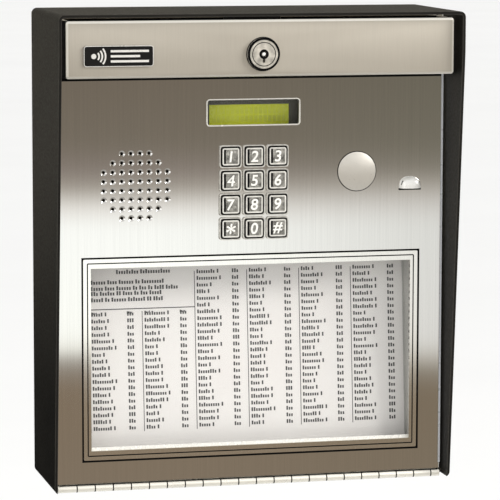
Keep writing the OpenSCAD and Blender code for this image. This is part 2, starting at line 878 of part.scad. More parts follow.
// Printed directory, lying on the tray's slanted back
module directory_sheet() {
    low = dir_z - mid_h / 2 + 1;
    high = dir_z + mid_h / 2 - 1;
    lift = 0.01;
    color([0.93, 0.91, 0.87]) on_door() side_profile([
        [tray_depth(low) - sheet_t, low], [tray_depth(high) - sheet_t, high],
        [tray_depth(high) - lift, high], [tray_depth(low) - lift, low]
    ], mid_w - 3, dir_x);
}

// ---------------------------------------------------------------- nodes

cabinet_shell();
door_ledges();
door_gasket();
latch_strike();
hinge_cabinet_leaf();
hinge_pin();
main_board();
board_standoffs();
board_screws();
terminal_strip();
terminal_screws();
relays();
capacitors();
logic_chips();
board_headers();
door_panel();
door_studs();
door_nuts();
hood_bar();
badge_plate();
lock_barrel();
lock_nut();
display_lens();
display_bezel();
display_glass();
display_board();
keypad_frame();
keypad_mat();
keypad_board();
speaker_gasket();
speaker_basket();
speaker_cone();
speaker_magnet();
speaker_clamps();
microphone_hood();
microphone_capsule();
microphone_boot();
blank_plug();
blank_plug_nut();
directory_frame();
directory_gasket();
directory_bezel();
directory_window();
directory_sheet();
directory_tray();
hinge_door_leaf();
lock_plug();
lock_cam();
key(0, 0);  // key_1
key(1, 0);  // key_2
key(2, 0);  // key_3
key(0, 1);  // key_4
key(1, 1);  // key_5
key(2, 1);  // key_6
key(0, 2);  // key_7
key(1, 2);  // key_8
key(2, 2);  // key_9
key(0, 3);  // key_star
key(1, 3);  // key_0
key(2, 3);  // key_hash
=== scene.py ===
"""Looks of the wall-mounted door intercom panel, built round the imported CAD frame.

Metres, in the CAD's own frame: +X right, -Y out of the wall, +Z up. Every place is
taken from the frame's nodes. Plain metals and plastics are rows of a table, and every
other material and every added piece has its own function.
"""
import json
import math
import random

import bmesh
import bpy
from mathutils import Matrix, Vector


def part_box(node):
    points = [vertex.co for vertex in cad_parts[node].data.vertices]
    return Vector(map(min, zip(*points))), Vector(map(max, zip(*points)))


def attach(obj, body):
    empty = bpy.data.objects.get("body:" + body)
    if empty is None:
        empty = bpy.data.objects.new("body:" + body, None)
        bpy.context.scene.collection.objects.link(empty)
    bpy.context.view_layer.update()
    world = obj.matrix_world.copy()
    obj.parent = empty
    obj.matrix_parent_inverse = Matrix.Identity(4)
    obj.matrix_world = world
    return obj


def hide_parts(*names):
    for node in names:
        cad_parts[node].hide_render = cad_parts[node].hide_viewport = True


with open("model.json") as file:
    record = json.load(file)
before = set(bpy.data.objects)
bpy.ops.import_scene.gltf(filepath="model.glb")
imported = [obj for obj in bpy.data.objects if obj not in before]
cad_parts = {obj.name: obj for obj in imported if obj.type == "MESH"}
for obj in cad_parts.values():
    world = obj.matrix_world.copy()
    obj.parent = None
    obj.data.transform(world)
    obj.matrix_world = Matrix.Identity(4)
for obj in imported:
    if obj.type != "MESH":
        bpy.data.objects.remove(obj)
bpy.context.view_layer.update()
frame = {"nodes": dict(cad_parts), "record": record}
NODES = frame["nodes"]

MM = 0.001
KEYS = {
    "key_1": "1", "key_2": "2", "key_3": "3",
    "key_4": "4", "key_5": "5", "key_6": "6",
    "key_7": "7", "key_8": "8", "key_9": "9",
    "key_star": "*", "key_0": "0", "key_hash": "#",
}


# ------------------------------------------------------------------ node helpers

class Nodes:
    """Short calls for the nodes of one tree."""

    def __init__(self, tree):
        self.tree = tree

    def node(self, kind, **settings):
        made = self.tree.nodes.new(kind)
        for key, value in settings.items():
            setattr(made, key, value)
        return made

    def link(self, out, into):
        self.tree.links.new(out, into)

    def parts(self, coordinates):
        """The X, Y and Z outputs of one kind of texture coordinates."""
        split = self.node("ShaderNodeSeparateXYZ")
        self.link(self.node("ShaderNodeTexCoord").outputs[coordinates], split.inputs["Vector"])
        return split.outputs

    def spread(self, value, low, high, from_low=0.3, from_high=0.7):
        """A value between from_low and from_high, remapped to low..high."""
        made = self.node("ShaderNodeMapRange")
        for socket, number in (("From Min", from_low), ("From Max", from_high),
                               ("To Min", low), ("To Max", high)):
            made.inputs[socket].default_value = number
        self.link(value, made.inputs["Value"])
        return made.outputs["Result"]

    def mix(self, factor, first, second):
        """A colour between first and second, each a socket or three numbers."""
        made = self.node("ShaderNodeMix", data_type="RGBA")
        ends = [i for i in made.inputs if i.type == "RGBA"]
        for target, colour in zip(ends, (first, second)):
            if hasattr(colour, "is_linked"):
                self.link(colour, target)
            else:
                target.default_value = (*colour, 1.0)
        self.link(factor, made.inputs["Factor"])
        return [o for o in made.outputs if o.type == "RGBA"][0]


class Shader(Nodes):
    """A material with one Principled shader and short calls for the nodes before it."""

    def __init__(self, name, base, metallic, roughness, **sockets):
        self.material = bpy.data.materials.new(name)
        self.material.use_nodes = True
        self.material.diffuse_color = (*base, 1.0)
        super().__init__(self.material.node_tree)
        self.bsdf = self.tree.nodes["Principled BSDF"]
        self.set("Base Color", (*base, 1.0))
        self.set("Metallic", metallic)
        self.set("Roughness", roughness)
        for socket, value in sockets.items():
            self.set(socket.replace("_", " "), value)

    def set(self, socket, value):
        self.bsdf.inputs[socket].default_value = value

    def place(self, scale=(1, 1, 1)):
        """Object coordinates, stretched."""
        coords = self.node("ShaderNodeTexCoord")
        mapping = self.node("ShaderNodeMapping")
        mapping.inputs["Scale"].default_value = scale
        self.link(coords.outputs["Object"], mapping.inputs["Vector"])
        return mapping.outputs["Vector"]

    def noise(self, where, scale, detail=4.0, rough=0.55):
        """Soft noise, scale cells to the metre."""
        made = self.node("ShaderNodeTexNoise")
        made.inputs["Scale"].default_value = scale
        made.inputs["Detail"].default_value = detail
        made.inputs["Roughness"].default_value = rough
        self.link(where, made.inputs["Vector"])
        return made.outputs["Fac"]

    def bump(self, height, strength, distance):
        """A normal roughened by height, up to distance in metres."""
        made = self.node("ShaderNodeBump")
        made.inputs["Strength"].default_value = strength
        made.inputs["Distance"].default_value = distance
        self.link(height, made.inputs["Height"])
        return made.outputs["Normal"]

    def edges(self, radius):
        """1 on edges, 0 on flats: how far a bevelled normal turns from the true one."""
        bevel = self.node("ShaderNodeBevel", samples=6)
        bevel.inputs["Radius"].default_value = radius
        geometry = self.node("ShaderNodeNewGeometry")
        dot = self.node("ShaderNodeVectorMath", operation="DOT_PRODUCT")
        self.link(bevel.outputs["Normal"], dot.inputs[0])
        self.link(geometry.outputs["Normal"], dot.inputs[1])
        return self.spread(dot.outputs["Value"], 1.0, 0.0, 0.8, 0.99)

    def colour(self, value):
        self.link(value, self.bsdf.inputs["Base Color"])

    def roughness(self, value):
        self.link(value, self.bsdf.inputs["Roughness"])

    def normal(self, value):
        self.link(value, self.bsdf.inputs["Normal"])

    def tangent(self, direction):
        """Grain direction for anisotropy, fixed to the object."""
        vector = self.node("ShaderNodeCombineXYZ")
        for axis, number in zip("XYZ", direction):
            vector.inputs[axis].default_value = number
        turn = self.node("ShaderNodeVectorTransform", vector_type="VECTOR",
                         convert_from="OBJECT", convert_to="WORLD")
        self.link(vector.outputs["Vector"], turn.inputs["Vector"])
        self.link(turn.outputs["Vector"], self.bsdf.inputs["Tangent"])


# ------------------------------------------------------------------ materials

def brushed(name, base, roughness, anisotropy, fine=2200.0, long=14.0, depth=0.3, contrast=0.05):
    """Steel brushed up and down: fine vertical scratches, a few longer ones, hazy patches."""
    s = Shader(name, base, 1.0, roughness, Anisotropic=anisotropy)
    s.tangent((1, 0, 0))
    scratch = s.noise(s.place((fine, fine, long)), 1.0, 2.0, 0.5)
    streak = s.noise(s.place((fine / 5, fine / 5, long / 3)), 1.0, 3.0, 0.5)
    patch = s.noise(s.place((9, 9, 5)), 1.0, 4.0, 0.6)
    dark = tuple(c * (1 - contrast) for c in base)
    light = tuple(min(1.0, c * (1 + contrast)) for c in base)
    tone = s.mix(s.spread(scratch, 0.0, 1.0), dark, light)
    s.colour(s.mix(s.spread(streak, 0.0, 0.3), tone, light))
    s.roughness(s.spread(patch, roughness * 0.92, roughness * 1.1))
    s.normal(s.bump(scratch, depth, 0.00001))
    return s.material


def powder_coat():
    """Dark bronze powder coat: fine orange peel, faint mottling, and lighter edges that are partly rubbed
    wear and partly a painted highlight.
    """
    s = Shader("powder_coat", (0.008, 0.007, 0.0055), 0.0, 0.42, IOR=1.24)
    where = s.place()
    peel = s.noise(where, 700.0, 3.0)
    cloud = s.noise(where, 22.0, 5.0)
    body = s.mix(s.spread(cloud, 0.0, 1.0), (0.005, 0.0045, 0.0036), (0.010, 0.009, 0.0072))
    # Lighter edges: partly rubbed wear, partly a painted highlight along the rims.
    s.colour(s.mix(s.edges(0.0009), body, (0.06, 0.056, 0.048)))
    s.roughness(s.spread(peel, 0.36, 0.5))
    s.normal(s.bump(peel, 0.35, 0.00012))
    return s.material


def plain_metal(name, base, roughness, grain=500.0, depth=0.15, tarnish=0.75, metallic=1.0, patch=60.0):
    """Plated or polished metal with a fine irregular surface and slightly dull patches."""
    s = Shader(name, base, metallic, roughness)
    where = s.place()
    fine = s.noise(where, grain, 4.0)
    cloud = s.noise(where, patch, 4.0)
    dull = tuple(c * tarnish for c in base)
    s.colour(s.mix(s.spread(cloud, 0.0, 1.0), dull, base))
    s.roughness(s.spread(fine, roughness * 0.8, roughness * 1.3))
    s.normal(s.bump(fine, depth, 0.00003))
    return s.material


def moulded(name, base, roughness, sheen_patch=0.12, grain=900.0, depth=0.3, ior=1.5):
    """Moulded plastic or rubber with a fine grain."""
    s = Shader(name, base, 0.0, roughness, IOR=ior)
    where = s.place()
    fine = s.noise(where, grain, 2.0)
    cloud = s.noise(where, 40.0, 4.0)
    dark = tuple(c * (1 - 2 * sheen_patch) for c in base)
    light = tuple(min(1.0, c * (1 + sheen_patch)) for c in base)
    s.colour(s.mix(s.spread(cloud, 0.0, 1.0), dark, light))
    s.roughness(s.spread(fine, roughness * 0.85, min(1.0, roughness * 1.2)))
    s.normal(s.bump(fine, depth, 0.00005))
    return s.material


def foam():
    """Closed-cell foam: dark, soft and full of small cells."""
    s = Shader("foam", (0.02, 0.02, 0.02), 0.0, 0.9)
    where = s.place()
    cells = s.node("ShaderNodeTexVoronoi")
    cells.inputs["Scale"].default_value = 1400.0
    s.link(where, cells.inputs["Vector"])
    s.colour(s.mix(s.spread(cells.outputs["Distance"], 0.0, 1.0, 0.0, 0.6),
                   (0.012, 0.012, 0.012), (0.035, 0.035, 0.034)))
    s.normal(s.bump(cells.outputs["Distance"], 0.6, 0.0003))
    return s.material


def circuit_board():
    """Green solder mask with the slightly raised copper tracks showing through."""
    s = Shader("circuit_board", (0.02, 0.13, 0.05), 0.0, 0.28)
    where = s.place((260, 260, 260))
    tracks = s.node("ShaderNodeTexBrick", offset=0.35, squash=0.6)
    tracks.inputs["Scale"].default_value = 1.0
    tracks.inputs["Mortar Size"].default_value = 0.06
    tracks.inputs["Mortar Smooth"].default_value = 0.3
    swap = s.node("ShaderNodeMapping")
    swap.inputs["Rotation"].default_value = (math.pi / 2, 0, 0)
    s.link(where, swap.inputs["Vector"])
    s.link(swap.outputs["Vector"], tracks.inputs["Vector"])
    s.colour(s.mix(tracks.outputs["Fac"], (0.012, 0.095, 0.035), (0.035, 0.2, 0.08)))
    s.normal(s.bump(tracks.outputs["Fac"], 0.5, 0.00008))
    return s.material


def paper():
    """Off-white printed card with fibres and a faint age tone."""
    s = Shader("paper", (0.67, 0.64, 0.62), 0.0, 0.8)
    where = s.place()
    fibre = s.noise(where, 1500.0, 4.0)
    cloud = s.noise(where, 12.0, 3.0)
    base = s.mix(s.spread(cloud, 0.0, 1.0), (0.65, 0.62, 0.60), (0.69, 0.67, 0.65))
    s.colour(s.mix(s.spread(fibre, 0.0, 0.3), base, (0.59, 0.56, 0.54)))
    s.normal(s.bump(fibre, 0.15, 0.00004))
    return s.material


def ink():
    """Printed ink, a little uneven."""
    s = Shader("ink", (0.03, 0.03, 0.033), 0.0, 0.7)
    where = s.place()
    s.colour(s.mix(s.spread(s.noise(where, 2500.0, 3.0), 0.0, 1.0),
                   (0.02, 0.02, 0.022), (0.07, 0.068, 0.065)))
    return s.material


def clear_sheet(name, tint):
    """Clear plastic window: hard gloss with a few faint hairlines."""
    s = Shader(name, tint, 0.0, 0.02, Transmission_Weight=1.0, IOR=1.2)
    hair = s.noise(s.place((500, 500, 40)), 1.0, 3.0)
    s.roughness(s.spread(hair, 0.0, 0.03))
    return s.material


def display_green():
    """Yellow-green character display: glossy and a little uneven."""
    s = Shader("display_green", (0.60, 0.655, 0.03), 0.0, 0.25)
    where = s.place()
    cloud = s.noise(where, 45.0, 2.0)
    s.colour(s.mix(s.spread(cloud, 0.0, 1.0), (0.58, 0.63, 0.028), (0.66, 0.71, 0.034)))
    s.roughness(s.spread(s.noise(where, 600.0, 2.0), 0.2, 0.32))
    return s.material


def speaker_paper():
    """Pressed, doped paper with fibres."""
    s = Shader("speaker_paper", (0.03, 0.027, 0.024), 0.0, 0.7)
    fibre = s.noise(s.place(), 900.0, 6.0, 0.7)
    s.colour(s.mix(s.spread(fibre, 0.0, 1.0), (0.018, 0.016, 0.014), (0.055, 0.05, 0.044)))
    s.normal(s.bump(fibre, 0.5, 0.0002))
    return s.material


# Metals: colour, roughness, grain, bump, tone of the dull patches, metallic, patches to the metre.
METALS = {
    "zinc_steel": ((0.62, 0.62, 0.58), 0.32, 350.0, 0.2, 0.7),
    "hinge_steel": ((0.90, 0.87, 0.78), 0.26, 40.0, 0.02, 0.93, 0.62),
    "pin_steel": ((0.05, 0.045, 0.04), 0.5, 400.0, 0.2, 0.7),
    "lock_chrome": ((0.88, 0.83, 0.73), 0.2, 420.0, 0.3, 0.42, 0.55, 190.0),
    "keypad_metal": ((0.84, 0.82, 0.76), 0.18, 420.0, 0.2, 0.6, 0.65, 260.0),
    "key_metal": ((0.60, 0.59, 0.55), 0.22, 260.0, 0.9, 0.2, 0.75, 330.0),
    "key_rim": ((0.95, 0.93, 0.87), 0.2, 300.0, 0.2, 0.7, 0.42, 240.0),
    "fitting_steel": ((0.70, 0.67, 0.61), 0.34, 1400.0, 0.15, 0.92, 0.75),
    "capsule_metal": ((0.7, 0.7, 0.68), 0.25),
    "louvre_steel": ((0.95, 0.94, 0.90), 0.3, 300.0, 0.1, 0.95, 0.3),
    "sign_silver": ((0.86, 0.84, 0.80), 0.3, 300.0, 0.1, 0.9, 0.5),
    "digit_metal": ((0.95, 0.94, 0.89), 0.25, 300.0, 0.1, 0.92, 0.25),
    # Brighter than the door steel, for the display window's lip: partly polish, partly a painted highlight.
    "lip_polish_and_highlight": ((0.9, 0.88, 0.82), 0.22, 300.0, 0.05, 0.95, 0.5),
    # Bluish metal for the strip down the door's right edge: a painted highlight.
    "cool_edge": ((0.62, 0.64, 0.67), 0.3, 300.0, 0.05, 0.95, 0.3),
    # Lighter than the hood steel: partly polished bends, partly a painted highlight.
    "hood_edge": ((0.85, 0.82, 0.74), 0.35, 500.0, 0.1, 0.95),
    "tinned_lead": ((0.7, 0.7, 0.68), 0.3),
}

# Plastics and rubbers: colour, roughness, strength of the patches, grain, bump, index of refraction.
MOULDED = {
    "terminal_plastic": ((0.02, 0.14, 0.06), 0.4),
    "black_plastic": ((0.018, 0.018, 0.02), 0.42),
    "capacitor_sleeve": ((0.02, 0.03, 0.11), 0.22),
    "badge": ((0.008, 0.0075, 0.007), 0.4, 0.1, 700.0, 0.1, 1.22),
    "display_trim": ((0.07, 0.066, 0.05), 0.45),
    # Black rubber: also the material of the painted shade strips, lines and rings.
    "seal_rubber": ((0.004, 0.004, 0.004), 0.8, 0.12, 900.0, 0.3, 1.12),
    "mat_rubber": ((0.05, 0.05, 0.053), 0.75),
    "speaker_frame": ((0.02, 0.02, 0.02), 0.4),
    "magnet": ((0.045, 0.045, 0.047), 0.55, 0.2, 300.0, 0.5),
    "tray_steel": ((0.42, 0.41, 0.385), 0.45, 0.06),
    "resistor": ((0.35, 0.24, 0.13), 0.4),
    "cell_shade": ((0.59, 0.64, 0.028), 0.3),
}


def make_materials():
    """Every material by name: one for each of the record's slots, and those of the added pieces."""
    made = {name: plain_metal(name, *values) for name, values in METALS.items()}
    made.update({name: moulded(name, *values) for name, values in MOULDED.items()})
    made.update({
        "cabinet_paint": powder_coat(),
        "foam": foam(),
        "circuit_board": circuit_board(),
        "door_steel": brushed("door_steel", (0.64, 0.625, 0.595), 0.06, 1.0, depth=0.2, contrast=0.035),
        "hood_steel": brushed("hood_steel", (0.59, 0.55, 0.478), 0.5, 0.3, 2600.0, 60.0, 0.15, 0.025),
        "directory_trim": brushed("directory_trim", (0.74, 0.72, 0.67), 0.08, 0.9, depth=0.2, contrast=0.03),
        "clear_lens": clear_sheet("clear_lens", (0.98, 0.99, 0.985)),
        "display_glass": display_green(),
        "speaker_paper": speaker_paper(),
        "directory_paper": paper(),
        "ink": ink(),
    })
    return made


# Bevel widths in millimetres.
BEVELS = {
    "cabinet_shell": 0.6, "door_panel": 0.25, "directory_frame": 0.3, "directory_bezel": 0.35,
    "lock_barrel": 0.5, "lock_plug": 0.35, "keypad_frame": 0.4, "microphone_hood": 0.15,
    "hinge_cabinet_leaf": 0.25, "hinge_door_leaf": 0.25, "badge_plate": 0.25,
    "blank_plug": 0.25, "relays": 0.5, "terminal_strip": 0.3, "logic_chips": 0.3,
    "capacitors": 0.6, "lock_nut": 0.4, "blank_plug_nut": 0.4, "door_nuts": 0.25,
    "lock_cam": 0.3, "speaker_magnet": 0.5, "main_board": 0.15, "latch_strike": 0.3,
    **{key: 0.3 for key in KEYS},
}


def dress_nodes(materials):
    """Gives each CAD node its slot's material, and a small true bevel on the hard edges of those listed in
    BEVELS.
    """
    slots = {row["node"]: row["material_slot"] for row in frame["record"]["subparts"]}
    for name, obj in NODES.items():
        obj.data.materials.clear()
        obj.data.materials.append(materials[slots[name]])
        if name in BEVELS:
            add_bevel(obj, BEVELS[name] * MM)
    # The steel reflects the studio alone, and the windows don't darken what is behind them.
    NODES["cabinet_shell"].visible_glossy = False
    for name in ("display_lens", "directory_window"):
        NODES[name].visible_shadow = False
        NODES[name].visible_diffuse = False


def add_bevel(obj, width):
    """Rounds the object's edges that turn by more than 40 degrees."""
    bevel = obj.modifiers.new("edge", "BEVEL")
    bevel.width = width
    bevel.segments = 2
    bevel.limit_method = "ANGLE"
    bevel.angle_limit = math.radians(40.0)
    bevel.harden_normals = False


# ------------------------------------------------------------------ mesh helpers

def add_object(name, data):
    """A new object in the scene."""
    obj = bpy.data.objects.new(name, data)
    bpy.context.scene.collection.objects.link(obj)
    return obj


def middle_of(low, high):
    """The middle of a box, seen from the front: x and z."""
    return (low.x + high.x) / 2, (low.z + high.z) / 2


def piece(name, build, body, *materials, slot=None, smooth=35.0):
    """A new mesh piece, filled by build(bm), riding on a CAD body."""
    mesh = bpy.data.meshes.new(name)
    bm = bmesh.new()
    build(bm)
    bmesh.ops.remove_doubles(bm, verts=bm.verts, dist=1e-7)
    bmesh.ops.recalc_face_normals(bm, faces=bm.faces)
    bm.to_mesh(mesh)
    bm.free()
    obj = add_object(name, mesh)
    for material in materials:
        mesh.materials.append(material)
    mesh.shade_smooth()
    mesh.set_sharp_from_angle(angle=math.radians(smooth))
    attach(obj, body)
    return obj


def outline(width, height, radius):
    """Points of a round-cornered rectangle in the XZ plane about the origin."""
    points, steps = [], 6
    for turn, (sx, sz) in enumerate(((1, 1), (-1, 1), (-1, -1), (1, -1))):
        for step in range(steps + 1):
            angle = math.radians(90 * turn + 90 * step / steps)
            points.append((sx * (width / 2 - radius) + radius * math.cos(angle),
                           sz * (height / 2 - radius) + radius * math.sin(angle)))
    return points


def sweep(bm, width, height, radius, profile, centre, closed=True, index=0):
    """Carries a profile of (inset, y) points round a round-cornered rectangle."""
    rings, least = [], 0.1 * MM
    for inset, y in profile:
        shape = outline(width - 2 * inset, height - 2 * inset, max(radius - inset, least))
        rings.append([bm.verts.new((centre[0] + x, y, centre[1] + z)) for x, z in shape])
    for first, second in zip(rings, rings[1:] + ([rings[0]] if closed else [])):
        join_rings(bm, first, second, index)
    return rings


def join_rings(bm, first, second, index=0):
    """A band of faces between two rings of as many points."""
    count = len(first)
    for i in range(count):
        j = (i + 1) % count
        bm.faces.new((first[i], first[j], second[j], second[i])).material_index = index


def block(bm, low, high, index=0):
    """An axis-aligned box."""
    corners = [bm.verts.new((x, y, z)) for x in (low[0], high[0])
               for y in (low[1], high[1]) for z in (low[2], high[2])]
    for face in ((0, 1, 3, 2), (4, 6, 7, 5), (0, 4, 5, 1), (2, 3, 7, 6), (0, 2, 6, 4), (1, 5, 7, 3)):
        bm.faces.new([corners[i] for i in face]).material_index = index


def lathe(bm, profile, centre, steps, axis="Y"):
    """Turns a profile of (radius, offset along the axis) points about a line through centre."""
    rings = []
    for radius, along in profile:
        ring = []
        for step in range(steps):
            a = 2 * math.pi * step / steps
            across, up = radius * math.cos(a), radius * math.sin(a)
            spot = (across, along, up) if axis == "Y" else (along, across, up)
            ring.append(bm.verts.new(Vector(centre) + Vector(spot)))
        rings.append(ring)
    for first, second in zip(rings, rings[1:]):
        join_rings(bm, first, second)
    return rings


# ------------------------------------------------------------------ added pieces

def hood_bar(materials):
    """The hood bar as bent sheet: round front edges in a lighter metal, partly polish and partly a painted
    highlight, hollow back, open top, lock hole.
    """
    low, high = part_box("hood_bar")
    lock_low, lock_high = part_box("lock_barrel")
    width, height = high.x - low.x, high.z - low.z
    centre = middle_of(low, high)
    bend, corner, sheet = 1.7 * MM, 1.8 * MM, 1.5 * MM
    lip, end, deep, over = 8 * MM, 3 * MM, 2 * MM, 1 * MM
    hole_r, lock_z = 9.7 * MM, (lock_low.z + lock_high.z) / 2
    steps = 5

    def wall(bm, inset, depth_in):
        """One skin of the tub, from the back edge round the bend to the front face."""
        profile = [(inset, high.y)]
        round_r = bend - inset
        for step in range(steps + 1):
            a = math.pi / 2 * step / steps
            profile.append((inset + round_r * (1 - math.cos(a)),
                            low.y + depth_in + round_r * (1 - math.sin(a))))
        flat = sweep(bm, width, height, corner, profile[:2], centre, closed=False)
        # The bends take the lighter hood_edge metal: partly polish, partly a painted highlight along them.
        bend_rings = sweep(bm, width, height, corner, profile[1:], centre, closed=False, index=1)
        return flat + bend_rings

    def lock_ring(bm, y):
        """The edge of the lock's hole, on one skin."""
        turns = [2 * math.pi * i / 40 for i in range(40)]
        return [bm.verts.new((hole_r * math.cos(a), y, lock_z + hole_r * math.sin(a))) for a in turns]

    def face(bm, ring, hole):
        """The front of one skin, round the lock's hole."""
        edges = []
        for loop in (ring, hole):
            for i, vert in enumerate(loop):
                other = loop[(i + 1) % len(loop)]
                edges.append(bm.edges.get((vert, other)) or bm.edges.new((vert, other)))
        bmesh.ops.triangle_fill(bm, edges=edges, use_beauty=True)

    def build(bm):
        outer = wall(bm, 0.0, 0.0)
        inner = wall(bm, sheet, sheet)
        join_rings(bm, outer[0], inner[0])
        front, back = lock_ring(bm, low.y), lock_ring(bm, low.y + sheet)
        join_rings(bm, front, back)
        face(bm, outer[-1], front)
        face(bm, inner[-1], back)

    obj = piece("hood_bar_shell", build, "door", materials["hood_steel"], materials["hood_edge"],
                slot="hood_steel", smooth=50)
    cut_block(obj, (low.x + end, low.y + lip, high.z - deep), (high.x - end, high.y + over, high.z + over))
    obj.data.set_sharp_from_angle(angle=math.radians(50))
    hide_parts("hood_bar")


def cut_block(obj, low, high):
    """Cuts an axis-aligned box out of the object's mesh."""
    mesh = bpy.data.meshes.new("top_cut")
    bm = bmesh.new()
    block(bm, low, high)
    bmesh.ops.recalc_face_normals(bm, faces=bm.faces)
    bm.to_mesh(mesh)
    bm.free()
    tool = add_object("top_cut", mesh)
    cut = obj.modifiers.new("top", "BOOLEAN")
    cut.object = tool
    cut.operation = "DIFFERENCE"
    cut.solver = "EXACT"
    graph = bpy.context.evaluated_depsgraph_get()
    made = bpy.data.meshes.new_from_object(obj.evaluated_get(graph))
    old = obj.data
    obj.modifiers.clear()
    obj.data = made
    bpy.data.meshes.remove(old)
    bpy.data.objects.remove(tool)


def badge(silver):
    """Bright border and a plain sound-wave sign on the black name plate."""
    low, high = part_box("badge_plate")
    width, height = high.x - low.x, high.z - low.z
    middle = middle_of(low, high)
    top = low.y - 0.3 * MM

    def arc(bm, radius, thick, centre, spread, steps=16):
        """A raised bow, spread degrees to each side of level."""
        inner, outer = radius - thick / 2, radius + thick / 2
        rows = []
        for step in range(steps + 1):
            a = math.radians(-spread + 2 * spread * step / steps)
            rows.append([bm.verts.new((centre[0] + r * math.cos(a), y, centre[1] + r * math.sin(a)))
                         for r, y in ((inner, low.y), (inner, top), (outer, top), (outer, low.y))])
        for first, second in zip(rows, rows[1:]):
            for i in range(4):
                j = (i + 1) % 4
                bm.faces.new((first[i], second[i], second[j], first[j]))
        bm.faces.new(rows[0])
        bm.faces.new(rows[-1][::-1])

    def build(bm):
        rim = 0.55 * MM
        profile = [(0, low.y), (0.15 * MM, top), (rim - 0.12 * MM, top), (rim, low.y)]
        sweep(bm, width, height, 2 * MM, profile, middle)
        spot = (middle[0] - 17 * MM, middle[1])
        lathe(bm, [(0.01 * MM, top), (1.6 * MM, top), (1.8 * MM, low.y)], (spot[0], 0, spot[1]), 24)
        for ring in range(3):
            arc(bm, (3.6 + 2.2 * ring) * MM, 1.1 * MM, spot, 40)
        left, pitch, half = middle[0] - 5.5 * MM, 3.4 * MM, 0.75 * MM
        for line, length in enumerate((26 * MM, 20 * MM, 26 * MM)):
            z = middle[1] + (1 - line) * pitch
            block(bm, (left, top, z - half), (left + length, low.y, z + half))

    piece("badge_sign", build, "door", silver, slot="lock_chrome")


def key_faces(materials):
    """A raised border, a black strip inside its left side as painted shade of the recess there, and a raised
    digit on each key.
    """
    cap, rise, border, strip, proud = 12 * MM, 0.45 * MM, 1.0 * MM, 1.5 * MM, 0.05 * MM
    for node, sign in KEYS.items():
        low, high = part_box(node)
        middle = middle_of(low, high)

        def build(bm):
            profile = [(0.1 * MM, low.y + 0.1 * MM), (0.12 * MM, low.y - rise + 0.15 * MM),
                       (0.3 * MM, low.y - rise), (border - 0.2 * MM, low.y - rise),
                       (border, low.y - rise + 0.2 * MM), (border + 0.15 * MM, low.y + 0.1 * MM)]
            sweep(bm, cap, cap, 1.5 * MM, profile, middle)
            # The black strip: painted shade down the left inside of the key's recess.
            left, half = middle[0] - cap / 2 + border, cap / 2 - border
            block(bm, (left, low.y - proud, middle[1] - half),
                  (left + strip, low.y + proud, middle[1] + half), 1)

        piece("border_" + node, build, node, materials["key_rim"], materials["seal_rubber"], slot="key_metal")
        digit(node, sign, middle, low.y, rise, materials["digit_metal"])


def key_wells(seal_and_shade_black):
    """Black rims filling the gap round each key, on the face of the keypad frame: painted shade of those
    gaps.
    """
    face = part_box("keypad_frame")[0].y
    gap, corner, rise = 0.95 * MM, 1.4 * MM, 0.07 * MM
    side = 12.3 * MM + 2 * gap
    profile = [(0, face + 0.05 * MM), (0.08 * MM, face - rise), (gap, face - rise),
               (gap + 0.05 * MM, face + 0.4 * MM)]

    def build(bm):
        for node in KEYS:
            low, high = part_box(node)
            middle = middle_of(low, high)
            sweep(bm, side, side, corner + gap, profile, middle, closed=False)

    piece("key_wells", build, "door", seal_and_shade_black, slot="mat_rubber")


def digit(node, sign, middle, face_y, rise, material):
    """A raised, slightly slanted digit, made from the built-in plain typeface."""
    sink = 0.05 * MM
    curve = bpy.data.curves.new("digit_" + node, "FONT")
    curve.body = sign
    curve.size = 10.6 * MM if sign != "*" else 15 * MM
    curve.shear = 0.12
    curve.offset = 0.04 * MM
    curve.extrude = rise / 2
    curve.bevel_depth = 0.12 * MM
    curve.bevel_resolution = 1
    curve.align_x = "CENTER"
    curve.resolution_u = 6
    text = add_object("digit_curve_" + node, curve)
    graph = bpy.context.evaluated_depsgraph_get()
    mesh = bpy.data.meshes.new_from_object(text.evaluated_get(graph))
    bpy.data.objects.remove(text)
    bpy.data.curves.remove(curve)
    mesh.transform(Matrix.Rotation(math.pi / 2, 4, "X"))
    xs = [v.co.x for v in mesh.vertices]
    zs = [v.co.z for v in mesh.vertices]
    shift = Vector((middle[0] - (min(xs) + max(xs)) / 2, face_y - rise / 2 + sink,
                    middle[1] - (min(zs) + max(zs)) / 2))
    mesh.transform(Matrix.Translation(shift))
    obj = add_object("digit_" + node, mesh)
    mesh.materials.clear()
    mesh.materials.append(material)
    mesh.shade_smooth()
    mesh.set_sharp_from_angle(angle=math.radians(40))
    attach(obj, node)


